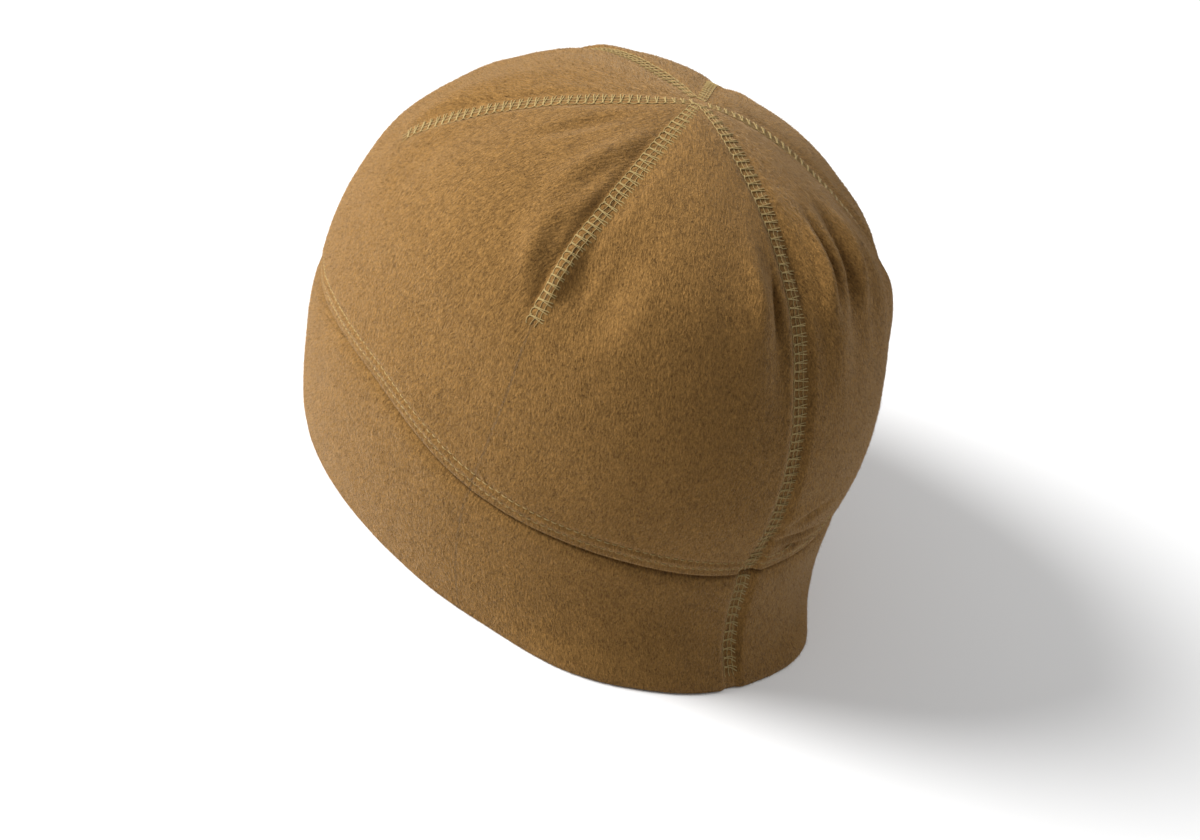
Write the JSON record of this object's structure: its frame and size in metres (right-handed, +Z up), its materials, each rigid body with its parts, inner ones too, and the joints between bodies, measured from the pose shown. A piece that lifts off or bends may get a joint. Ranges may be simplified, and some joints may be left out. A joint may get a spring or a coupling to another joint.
{
  "type": "fleece beanie",
  "caption": "Close-fitting fleece skull cap with a darted crown, closed by a centre back seam, over a plain folded band.",
  "frame": {"origin": "under the middle of the cap, on the surface that its hem stands on", "axes": "+Z up from the hem to the top, -Y towards the forehead, +Y towards the nape, +X towards the wearer's left"},
  "size_m": [0.1656, 0.2156, 0.1521],
  "materials": {
    "crown_fleece": "brushed fleece, coyote brown",
    "band_fleece": "brushed fleece, coyote brown"
  },
  "bodies": {
    "root": {"crown": "crown_fleece", "band": "band_fleece"}
  },
  "joints": []
}
